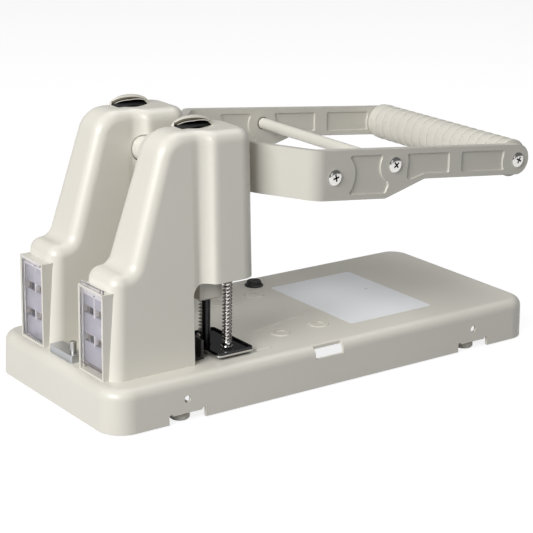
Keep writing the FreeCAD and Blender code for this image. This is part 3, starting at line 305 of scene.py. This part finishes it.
def ground_steel(name, light, dark, along, rough=(0.22, 0.40), streaks=240.0):
    metal = bpy.data.materials.new(name)
    metal.use_nodes = True
    tree = metal.node_tree
    shader = tree.nodes["Principled BSDF"]
    shader.inputs["Metallic"].default_value = 1.0
    place = add_node(tree, "ShaderNodeTexCoord")
    stretch = add_node(tree, "ShaderNodeMapping")
    stretch.inputs["Scale"].default_value = along
    marks = add_node(tree, "ShaderNodeTexNoise", Scale=streaks, Detail=6.0, Roughness=0.6)
    stains = add_node(tree, "ShaderNodeTexNoise", Scale=22.0, Detail=3.0)
    tint = add_node(tree, "ShaderNodeMix", data_type="RGBA")
    tint.inputs[6].default_value = (*light, 1.0)
    tint.inputs[7].default_value = (*dark, 1.0)
    rough_range = add_node(tree, "ShaderNodeMapRange", To_Min=rough[0], To_Max=rough[1])
    bump = add_node(tree, "ShaderNodeBump", Strength=0.12, Distance=0.0002)
    tree.links.new(place.outputs["Object"], stretch.inputs["Vector"])
    tree.links.new(stretch.outputs["Vector"], marks.inputs["Vector"])
    tree.links.new(place.outputs["Object"], stains.inputs["Vector"])
    tree.links.new(stains.outputs["Fac"], tint.inputs[0])
    tree.links.new(tint.outputs[2], shader.inputs["Base Color"])
    tree.links.new(marks.outputs["Fac"], rough_range.inputs["Value"])
    tree.links.new(rough_range.outputs["Result"], shader.inputs["Roughness"])
    tree.links.new(marks.outputs["Fac"], bump.inputs["Height"])
    tree.links.new(bump.outputs["Normal"], shader.inputs["Normal"])
    return metal


turned_steel = ground_steel("turned_steel", (0.56, 0.55, 0.53), (0.42, 0.41, 0.40), (0.05, 1.0, 1.0))
dress(ground_steel("ground_plate", (0.50, 0.50, 0.49), (0.36, 0.36, 0.36), (1.0, 0.06, 1.0)), "die_plate")
dress(turned_steel, "frame_screws", "bracket_stud")
zinc = ground_steel("zinc_plate", (0.58, 0.59, 0.61), (0.44, 0.45, 0.47), (1.0, 1.0, 1.0),
                    (0.28, 0.5), 140.0)
dress(zinc, "rear_bracket")
white_nylon = moulded("white_nylon", (0.80, 0.79, 0.75), (0.72, 0.71, 0.66))
dress(white_nylon, "left_cutting_disc", "right_cutting_disc")

# Towers: each a thin casting that leans in to the top, enamelled like the base, with a scoop on
# its crown. Inside stands the iron frame with its brass bushes, left as cast.
dress(base_enamel, "left_cover", "right_cover")
cast_iron = moulded("cast_iron", (0.055, 0.053, 0.050), (0.035, 0.034, 0.033), (0.55, 0.75), 420.0, 0.3)
dress(cast_iron, "left_frame", "right_frame")
dress(ground_steel("turned_brass", (0.62, 0.44, 0.17), (0.50, 0.33, 0.11), (0.05, 1.0, 1.0)),
      "left_shaft_bushes", "right_shaft_bushes")

# Chip bins: moulded pockets in the foot of each tower that catch the punched chips. Each has two
# side rails for its window, three raised panels, and two slots between them whose brown is painted
# shade on the cream back of the pocket. The panels are cream plastic, painted a darker lilac grey as
# shade behind the window, and the holes are black blocks of painted shade. The panels
# of the left bin stand higher than those of the right one.
bin_cream = moulded("bin_cream", (0.720, 0.700, 0.640), (0.680, 0.660, 0.600), (0.25, 0.4))
# panels: the pocket's cream plastic, painted a darker lilac grey as shade behind the window
panel_shaded_lilac = moulded("bin_panel_shaded", (0.410, 0.400, 0.405), (0.370, 0.362, 0.366), (0.30, 0.45), 140.0, 0.05)
# brown of the slots: painted shade on the sunk cream back of the pocket
bin_slot_shade = moulded("bin_slot_shade", (0.250, 0.215, 0.175), (0.200, 0.170, 0.135), (0.40, 0.60), 300.0, 0.10)
# black of the holes: painted shade
bin_hole_shade = moulded("bin_hole_shade", (0.010, 0.010, 0.012), (0.020, 0.019, 0.018), (0.45, 0.60))
pocket_wall = 0.0012
for side, bin_name in ((-1, "left_chip_bin"), (1, "right_chip_bin")):
    low, high = (Vector(corner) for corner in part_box(bin_name))
    middle_x = (low.x + high.x) / 2
    bpy.ops.object.select_all(action="DESELECT")
    bpy.ops.mesh.primitive_cube_add(size=1.0, location=(low + high) / 2)
    pocket = bpy.context.object
    pocket.name = "chip_pocket_" + bin_name.split("_")[0]
    pocket.data.materials.append(bin_cream)
    pocket.data.materials.append(bin_slot_shade)
    pocket.data.materials.append(bin_hole_shade)
    bpy.ops.object.mode_set(mode="EDIT")
    bpy.ops.transform.resize(value=high - low)
    bpy.ops.object.mode_set(mode="OBJECT")
    bpy.ops.object.transform_apply(location=True, rotation=True, scale=True)
    bpy.context.tool_settings.mesh_select_mode = (False, False, True)
    for polygon in pocket.data.polygons:
        polygon.select = polygon.normal.y > 0.9
    bpy.ops.object.mode_set(mode="EDIT")
    bpy.ops.mesh.inset(thickness=pocket_wall)
    sink = (0.0, low.y + pocket_wall - high.y, 0.0)
    bpy.ops.mesh.extrude_region_move(TRANSFORM_OT_translate={"value": sink})
    # the sunk back of the pocket takes the brown painted shade of the slots
    bpy.context.object.active_material_index = 1
    bpy.ops.object.material_slot_assign()
    bpy.ops.object.mode_set(mode="OBJECT")
    blocks = []
    lift = 0.0052 if side < 0 else 0.0008
    # three panels and the head strip, the rails' lips, the upright ribs, then the holes as black blocks of
    # painted shade
    for x0, x1, y0, y1, z0, z1, bevel, finish in (
            (-0.0146, 0.0146, 0.0008, 0.0040, 0.0004 + lift, 0.0152 + lift, 0.0004, panel_shaded_lilac),
            (-0.0146, 0.0146, 0.0008, 0.0040, 0.0204 + lift, 0.0348 + lift, 0.0004, panel_shaded_lilac),
            (-0.0146, 0.0146, 0.0008, 0.0040, 0.0400 + lift, 0.0530, 0.0004, panel_shaded_lilac),
            (-0.0146, 0.0146, 0.0008, 0.0048, 0.0530, 0.0590, 0.0004, bin_cream),
            (-0.0148, -0.0135, 0.0046, 0.0056, 0.0006, 0.0594, 0.0002, bin_cream),
            (0.0135, 0.0148, 0.0046, 0.0056, 0.0006, 0.0594, 0.0002, bin_cream),
            (-0.0148, -0.0138, 0.0075, 0.0080, 0.0006, 0.0594, 0.0001, bin_cream),
            (0.0138, 0.0148, 0.0075, 0.0080, 0.0006, 0.0594, 0.0001, bin_cream),
            (-0.0002, 0.0012, 0.0010, 0.0045, 0.0142 + lift, 0.0214 + lift, 0.0002, bin_cream),
            (-0.0002, 0.0012, 0.0010, 0.0045, 0.0338 + lift, 0.0410 + lift, 0.0002, bin_cream),
            (0.0002, 0.0010, 0.0038, 0.0044, 0.0405 + lift, 0.0525, 0.0002, bin_cream),
            (0.0020, 0.0072, 0.0010, 0.0036, 0.0156 + lift, 0.0200 + lift, 0.0001, bin_hole_shade),
            (0.0020, 0.0072, 0.0010, 0.0036, 0.0352 + lift, 0.0396 + lift, 0.0001, bin_hole_shade),
            (-0.0010, 0.0004, 0.0046, 0.0050, 0.0540, 0.0550, 0.0001, bin_hole_shade)):
        bpy.ops.object.select_all(action="DESELECT")
        centre = (middle_x + (x0 + x1) / 2, low.y + (y0 + y1) / 2, low.z + (z0 + z1) / 2)
        bpy.ops.mesh.primitive_cube_add(size=1.0, location=centre)
        block = bpy.context.object
        bpy.ops.object.mode_set(mode="EDIT")
        bpy.ops.transform.resize(value=(x1 - x0, y1 - y0, z1 - z0))
        bpy.ops.mesh.bevel(offset=bevel, segments=2, affect="EDGES")
        bpy.ops.object.mode_set(mode="OBJECT")
        block.data.materials.append(finish)
        blocks.append(block)
    bpy.ops.object.select_all(action="DESELECT")
    for block in blocks:
        block.select_set(True)
    pocket.select_set(True)
    bpy.context.view_layer.objects.active = pocket
    bpy.ops.object.join()
    bpy.ops.object.transform_apply(location=True, rotation=True, scale=True)
    bpy.ops.object.shade_smooth_by_angle(angle=math.radians(35))
    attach(pocket, "base")
    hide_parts(bin_name)

# Windows: one plate of clear acrylic for each bin, with polished faces, that slides up and down
# in the rails. It is faintly lilac, and carries a light haze from handling.


def clear_plate(name):
    clear = bpy.data.materials.new(name)
    clear.use_nodes = True
    tree = clear.node_tree
    shader = tree.nodes["Principled BSDF"]
    shader.inputs["Transmission Weight"].default_value = 1.0
    shader.inputs["IOR"].default_value = 1.15
    place = add_node(tree, "ShaderNodeTexCoord")
    haze = add_node(tree, "ShaderNodeTexNoise", Scale=60.0, Detail=4.0)
    tint = add_node(tree, "ShaderNodeMix", data_type="RGBA")
    tint.inputs[6].default_value = (0.86, 0.85, 0.90, 1.0)
    tint.inputs[7].default_value = (0.80, 0.79, 0.85, 1.0)
    rough_range = add_node(tree, "ShaderNodeMapRange", To_Min=0.02, To_Max=0.10)
    tree.links.new(place.outputs["Object"], haze.inputs["Vector"])
    tree.links.new(haze.outputs["Fac"], tint.inputs[0])
    tree.links.new(tint.outputs[2], shader.inputs["Base Color"])
    tree.links.new(haze.outputs["Fac"], rough_range.inputs["Value"])
    tree.links.new(rough_range.outputs["Result"], shader.inputs["Roughness"])
    return clear


dress(clear_plate("clear_acrylic"), "left_bin_window", "right_bin_window")

# Hood shade: under each hood a shell of matt black closes the slit; its black is painted shade
# for the dark hollow under the hood. It is pressed up into the hood from inside.
# matt black painted shade, shared by the hood shells, the slit plates and the crown plates
painted_shade_black = moulded("painted_shade_black", (0.004, 0.004, 0.004), (0.008, 0.008, 0.008), (0.8, 0.95))
tower_middle = 0.040
for side in (-1, 1):
    seat = Vector((side * tower_middle + 0.005, 0.0945, 0.1873))
    shells = []
    for grow in (0.0, -0.0004):
        bpy.ops.object.select_all(action="DESELECT")
        bpy.ops.mesh.primitive_uv_sphere_add(segments=64, ring_count=32, radius=1.0, location=seat)
        dome = bpy.context.object
        bpy.ops.object.mode_set(mode="EDIT")
        bpy.ops.transform.resize(value=(0.01085 + grow, 0.01435 + grow, 0.00675 + grow))
        bpy.ops.object.mode_set(mode="OBJECT")
        bpy.ops.object.transform_apply(location=True, rotation=True, scale=True)
        shells.append(dome)
    bpy.ops.object.select_all(action="DESELECT")
    bpy.ops.mesh.primitive_cylinder_add(vertices=128, radius=0.0233, depth=0.012,
                                        location=(side * tower_middle + 0.027, 0.088, 0.1934))
    rim = bpy.context.object
    bpy.ops.object.transform_apply(location=True, rotation=True, scale=True)
    shade_shell = shells[0]
    shade_shell.name = "hood_shade_left" if side < 0 else "hood_shade_right"
    for tool, operation in ((shells[1], "DIFFERENCE"), (rim, "INTERSECT")):
        trim = shade_shell.modifiers.new("trim", "BOOLEAN")
        trim.operation = operation
        trim.solver = "EXACT"
        trim.object = tool
        bpy.ops.object.select_all(action="DESELECT")
        shade_shell.select_set(True)
        bpy.context.view_layer.objects.active = shade_shell
        bpy.ops.object.modifier_apply(modifier="trim")
        bpy.data.objects.remove(tool)
    shade_shell.data.materials.clear()
    shade_shell.data.materials.append(painted_shade_black)
    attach(shade_shell, "base")

# Hood lips: along the mouth of each hood runs a strip of brown painted shade, the shadow line under
# the rim of the hood, and under it a thin rolled lip in the enamel of the tower. The shade strip is deepest
# at the rear end of the mouth.
rim_shadow_brown = moulded("rim_shadow_brown", (0.115, 0.095, 0.062), (0.085, 0.070, 0.045), (0.5, 0.7), 500.0, 0.1)


def crown_height(place):
    """Height of the sloping crown of a tower, by its place from front to rear."""
    return 0.1902 - (0.1287 - place) * 0.035


def mouth_point(place):
    """Point on the mouth's inner edge, from the middle of the tower, and the strip's depth."""
    x = 0.027 - math.sqrt(0.0231 ** 2 - (place - 0.088) ** 2)
    share = 1.0 - ((x - 0.005) / 0.0109) ** 2 - ((place - 0.0945) / 0.0144) ** 2
    z = 0.1873 + 0.0068 * math.sqrt(max(share, 0.0))
    depth = 0.0009 + 0.0016 * min(1.0, max(0.0, (place - 0.083) / 0.012))
    return x, z, depth


strip_depth = 0.001
for side in (-1, 1):
    hand = "left" if side < 0 else "right"
    for name, finish in (("hood_shadow_strip_", rim_shadow_brown), ("hood_lip_", base_enamel)):
        bpy.ops.object.select_all(action="DESELECT")
        bpy.ops.curve.primitive_nurbs_path_add()
        strip = bpy.context.object
        strip.name = name + hand
        strip.data.splines.clear()
        line = strip.data.splines.new("POLY")
        line.points.add(30)
        for step, point in enumerate(line.points):
            place = 0.0806 + 0.0240 * step / 30
            x, z, depth = mouth_point(place)
            # the brown strip of painted shadow: thicker and lower where the shadow line under the rim is
            # deepest
            if name == "hood_shadow_strip_":
                radius = max(0.0003, (depth - 0.0008) / 2 + 0.0002)
                z -= (depth - 0.0008) / 2
            else:
                radius = 0.0004
                x -= 0.0002
                z -= depth - 0.0004
            point.co = (side * tower_middle + x, place, max(z, crown_height(place) + radius / 2), 1.0)
            point.radius = radius / strip_depth
        strip.data.bevel_depth = strip_depth
        strip.data.bevel_resolution = 4
        strip.data.use_fill_caps = True
        bpy.ops.object.convert(target="MESH")
        bpy.ops.object.transform_apply(location=True, rotation=True, scale=True)
        bpy.ops.object.shade_smooth()
        strip = bpy.context.object
        strip.data.materials.append(finish)
        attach(strip, "base")

# Slit plates: black plates of painted shade laid on the crown inside each mouth. They widen the
# shaded mouth to its rear corner and hide the cast edge of the slit.
for side in (-1, 1):
    bpy.ops.object.select_all(action="DESELECT")
    bpy.ops.mesh.primitive_circle_add(vertices=8, radius=0.01, fill_type="NGON")
    leaf = bpy.context.object
    leaf.name = "slit_shade_left" if side < 0 else "slit_shade_right"
    corners = ((-0.0035, 0.1088), (-0.0026, 0.1020), (0.0009, 0.0920), (0.0046, 0.0820),
               (0.0070, 0.0805), (0.0110, 0.0850), (0.0115, 0.1010), (0.0060, 0.1089))
    for vertex, (x, y) in zip(leaf.data.vertices, corners):
        vertex.co = (side * tower_middle + x, y, crown_height(y) + 0.00002)
    bpy.ops.object.mode_set(mode="EDIT")
    bpy.ops.mesh.select_all(action="SELECT")
    bpy.ops.mesh.bevel(offset=0.0009, segments=4, affect="VERTICES")
    bpy.ops.mesh.select_all(action="SELECT")
    bpy.ops.mesh.extrude_region_move(TRANSFORM_OT_translate={"value": (0.0, 0.0, 0.00012)})
    bpy.ops.mesh.select_all(action="SELECT")
    bpy.ops.mesh.normals_make_consistent(inside=False)
    bpy.ops.object.mode_set(mode="OBJECT")
    bpy.ops.object.transform_apply(location=True, rotation=True, scale=True)
    leaf.data.materials.append(painted_shade_black)
    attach(leaf, "base")

# Crown shade plates: thin black plates of painted shade that slope with the crown, clipped under it
# between cover and frame. They close the slit above the racks, so that it reads dark.
for side in (-1, 1):
    bpy.ops.object.select_all(action="DESELECT")
    bpy.ops.mesh.primitive_cube_add(size=1.0, location=(side * tower_middle + 0.0035, 0.094, 0.0))
    plate = bpy.context.object
    plate.name = "crown_shade_plate_left" if side < 0 else "crown_shade_plate_right"
    bpy.ops.object.mode_set(mode="EDIT")
    bpy.ops.transform.resize(value=(0.0215, 0.034, 0.0004))
    bpy.ops.object.mode_set(mode="OBJECT")
    bpy.ops.object.transform_apply(location=True, rotation=True, scale=True)
    for vertex in plate.data.vertices:
        vertex.co.z += crown_height(vertex.co.y) - 0.0027
    bpy.ops.object.mode_set(mode="EDIT")
    bpy.ops.mesh.select_all(action="SELECT")
    bpy.ops.mesh.bevel(offset=0.0001, segments=1, affect="EDGES")
    bpy.ops.object.mode_set(mode="OBJECT")
    plate.data.materials.append(painted_shade_black)
    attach(plate, "base")

# Punching heads: the enamelled slides with their racks, the blackened hollow cutters, the black
# plated presser plates with a bright band round their lower edge as a painted highlight of the bevel, their
# bright rods, and the springs of bare wire.
dress(base_enamel, "left_slide", "right_slide")
dress(ground_steel("blackened_steel", (0.045, 0.045, 0.048), (0.025, 0.025, 0.027), (1.0, 1.0, 0.06)),
      "left_cutter", "right_cutter", "left_set_screw", "right_set_screw")
black_chrome = ground_steel("black_chrome", (0.060, 0.060, 0.066), (0.035, 0.035, 0.040),
                            (1.0, 0.1, 1.0), (0.08, 0.18))
dress(black_chrome, "left_presser_plate", "right_presser_plate")
bright = ground_steel("bright_plating", (0.78, 0.77, 0.75), (0.66, 0.65, 0.63), (1.0, 1.0, 0.1),
                      (0.08, 0.20))
dress(bright, "left_presser_rods", "right_presser_rods")
# Painted highlight: a thin band of bright plating round the lower edge of each presser plate stands in for
# the glint on its bevel.
highlight_band_height = 0.0013
highlight_band_proud = 0.0003
for hand in ("left", "right"):
    low, high = (Vector(corner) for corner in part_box(hand + "_presser_plate"))
    bpy.ops.object.select_all(action="DESELECT")
    highlight_band_place = ((low.x + high.x) / 2, (low.y + high.y) / 2, low.z + 0.0008)
    bpy.ops.mesh.primitive_cube_add(size=1.0, location=highlight_band_place)
    highlight_band = bpy.context.object
    highlight_band.name = "presser_highlight_band_" + hand
    bpy.ops.object.mode_set(mode="EDIT")
    bpy.ops.transform.resize(value=(high.x - low.x + highlight_band_proud, high.y - low.y + highlight_band_proud, highlight_band_height))
    bpy.ops.mesh.select_all(action="DESELECT")
    bpy.ops.object.mode_set(mode="OBJECT")
    bpy.ops.object.transform_apply(location=True, rotation=True, scale=True)
    bpy.context.tool_settings.mesh_select_mode = (False, True, False)
    for edge in highlight_band.data.edges:
        a, b = (highlight_band.data.vertices[index].co for index in edge.vertices)
        edge.select = abs(a.z - b.z) > 0.001
    bpy.ops.object.mode_set(mode="EDIT")
    bpy.ops.mesh.bevel(offset=0.0025, segments=5, affect="EDGES")
    bpy.ops.mesh.select_all(action="DESELECT")
    bpy.ops.object.mode_set(mode="OBJECT")
    bpy.context.tool_settings.mesh_select_mode = (False, False, True)
    for polygon in highlight_band.data.polygons:
        polygon.select = abs(polygon.normal.z) > 0.9
    bpy.ops.object.mode_set(mode="EDIT")
    bpy.ops.mesh.inset(thickness=0.0004)
    bpy.ops.mesh.bridge_edge_loops()
    bpy.ops.mesh.select_all(action="SELECT")
    bpy.ops.mesh.normals_make_consistent(inside=False)
    bpy.ops.object.mode_set(mode="OBJECT")
    bpy.ops.object.shade_smooth_by_angle(angle=math.radians(30))
    highlight_band.data.materials.append(bright)
    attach(highlight_band, hand + "_presser")
wire = ground_steel("spring_wire", (0.46, 0.43, 0.41), (0.30, 0.28, 0.27), (1.0, 1.0, 1.0),
                    (0.14, 0.26), 500.0)
dress(wire, "left_presser_springs", "right_presser_springs")

# Lever: two cast arms with sunk panels, enamelled a shade greyer than the base, joined by a hub
# on the shaft, by two enamelled rods and by the grip.
arm_enamel = enamel("arm_enamel", (0.655, 0.635, 0.570), (0.620, 0.600, 0.535), 0.06, (0.32, 0.46))
dress(arm_enamel, "left_arm", "right_arm", "lever_hub")
rod_enamel = enamel("rod_enamel", (0.725, 0.705, 0.635), (0.690, 0.670, 0.600))
dress(rod_enamel, "rear_tie_rod", "front_tie_rod", "shaft_collars")
dress(turned_steel, "lever_shaft", "hub_bolts", "grip_tube", "left_pinion", "right_pinion")

# Rod end shade: a thin ring of black at each end of both tie rods, painted shade for the shadow
# gap where the rod enters its counterbore in the arm.
end_shade_half = 0.0004
for side in (-1, 1):
    for rod_name in ("rear_tie_rod", "front_tie_rod"):
        low, high = (Vector(corner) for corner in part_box(rod_name))
        bpy.ops.object.select_all(action="DESELECT")
        bpy.ops.mesh.primitive_torus_add(major_segments=48, minor_segments=10,
                                         major_radius=0.00435, minor_radius=end_shade_half)
        end_shade_ring = bpy.context.object
        end_shade_ring.name = f"rod_end_shade_{rod_name.split('_')[0]}_{'left' if side < 0 else 'right'}"
        bpy.ops.object.mode_set(mode="EDIT")
        bpy.ops.transform.resize(value=(1.0, 1.0, 0.7), center_override=(0.0, 0.0, 0.0))
        bpy.ops.object.mode_set(mode="OBJECT")
        end_shade_ring.rotation_euler = (0.0, math.pi / 2, 0.0)
        end_shade_ring.location = (side * (high.x - end_shade_half), (low.y + high.y) / 2, (low.z + high.z) / 2)
        bpy.ops.object.transform_apply(location=True, rotation=True, scale=True)
        bpy.ops.object.shade_smooth()
        # black rubber finish used here as painted shade
        end_shade_ring.data.materials.append(black_rubber)
        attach(end_shade_ring, "lever")

# Grip: a sleeve of cream plastic over a steel tube, a full hand wide. Its seventeen rings taper
# one into the next like a stack of cups, so each shows a thin step.
low, high = (Vector(corner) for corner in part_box("grip"))
ring_count = 17
ring_pitch = (high.x - low.x) / ring_count
ring_radius = (high.z - low.z) / 2
bore_radius = 0.0062
profile = [(low.x, bore_radius)]
for ring in range(ring_count):
    foot = low.x + ring * ring_pitch
    profile += [(foot + 0.00002, ring_radius - 0.00035),
                (foot + 0.0002, ring_radius - 0.00008),
                (foot + 0.0006, ring_radius),
                (foot + ring_pitch * 0.45, ring_radius - 0.0001),
                (foot + ring_pitch * 0.80, ring_radius - 0.0004),
                (foot + ring_pitch - 0.0003, ring_radius - 0.0007),
                (foot + ring_pitch - 0.0001, ring_radius - 0.00095)]
profile += [(high.x, bore_radius), (low.x, bore_radius)]
sleeve_axis = (0.0, (low.y + high.y) / 2, (low.z + high.z) / 2)
sleeve = turned_piece("ribbed_sleeve", profile, sleeve_axis, "X")
cream_sleeve = moulded("cream_sleeve", (0.690, 0.665, 0.600), (0.650, 0.625, 0.560), (0.36, 0.50),
                       500.0, 0.05)
sleeve.data.materials.append(cream_sleeve)
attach(sleeve, "lever")
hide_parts("grip")

# Arm screws: six plated pan-head screws with a cross recess, three in each arm; the recess is painted
# near black as shade. They are turned in one piece with their shanks, and no two recesses stop at the same
# angle.
# painted shade inside the cross recess; the recess is the same plated steel as the head
recess_painted_shade = ground_steel("recess_painted_shade", (0.020, 0.018, 0.017), (0.010, 0.009, 0.009),
                           (1.0, 1.0, 1.0), (0.35, 0.5))
head_radius = 0.0055
head_rise = 0.0019
arm_face = 0.0815
dome_steps = ((0.0005, 0.00050), (0.0010, 0.00036), (0.0014, 0.00020), (0.0012, 0.00008))
for side in (-1, 1):
    for place_y, place_z, turn in ((0.0105, 0.1518, 12), (-0.0425, 0.1539, 38), (-0.1603, 0.1424, 63)):
        bpy.ops.object.select_all(action="DESELECT")
        bpy.ops.mesh.primitive_cylinder_add(vertices=40, radius=head_radius, depth=head_rise * 0.4,
                                            location=(0.0, 0.0, head_rise * 0.2))
        screw = bpy.context.object
        screw.name = f"arm_screw_{'left' if side < 0 else 'right'}_{turn}"
        for polygon in screw.data.polygons:
            polygon.select = polygon.normal.z > 0.9
        bpy.ops.object.mode_set(mode="EDIT")
        bpy.ops.mesh.select_mode(type="FACE")
        for step_in, step_up in dome_steps:
            bpy.ops.mesh.inset(thickness=step_in, depth=step_up)
        bpy.ops.object.mode_set(mode="OBJECT")
        bpy.ops.object.select_all(action="DESELECT")
        bpy.ops.mesh.primitive_cube_add(size=1.0, location=(0.0, 0.0, head_rise))
        cross = bpy.context.object
        bpy.ops.object.mode_set(mode="EDIT")
        bpy.ops.transform.resize(value=(0.0068, 0.0016, 0.0026))
        bpy.ops.mesh.duplicate()
        bpy.ops.transform.rotate(value=math.pi / 2, orient_axis="Z", center_override=(0.0, 0.0, 0.0))
        bpy.ops.object.mode_set(mode="OBJECT")
        screw.data.materials.append(bright)
        screw.data.materials.append(recess_painted_shade)
        cross.data.materials.append(bright)
        cross.data.materials.append(recess_painted_shade)
        for polygon in cross.data.polygons:
            polygon.material_index = 1
        for vertex in cross.data.vertices:
            if vertex.co.z < 0.0:
                vertex.co.x *= 0.55
                vertex.co.y *= 0.55
        cutter = screw.modifiers.new("recess", "BOOLEAN")
        cutter.operation = "DIFFERENCE"
        cutter.solver = "EXACT"
        cutter.use_self = True
        cutter.object = cross
        bpy.ops.object.select_all(action="DESELECT")
        screw.select_set(True)
        bpy.context.view_layer.objects.active = screw
        bpy.ops.object.modifier_apply(modifier="recess")
        bpy.data.objects.remove(cross)
        screw.rotation_euler = (0.0, 0.0, math.radians(turn))
        bpy.ops.object.transform_apply(location=True, rotation=True, scale=True)
        screw.rotation_euler = (0.0, side * math.pi / 2, 0.0)
        screw.location = (side * arm_face, place_y, place_z)
        bpy.ops.object.transform_apply(location=True, rotation=True, scale=True)
        bpy.ops.object.shade_smooth_by_angle(angle=math.radians(32))
        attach(screw, "lever")
        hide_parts("arm_screws")
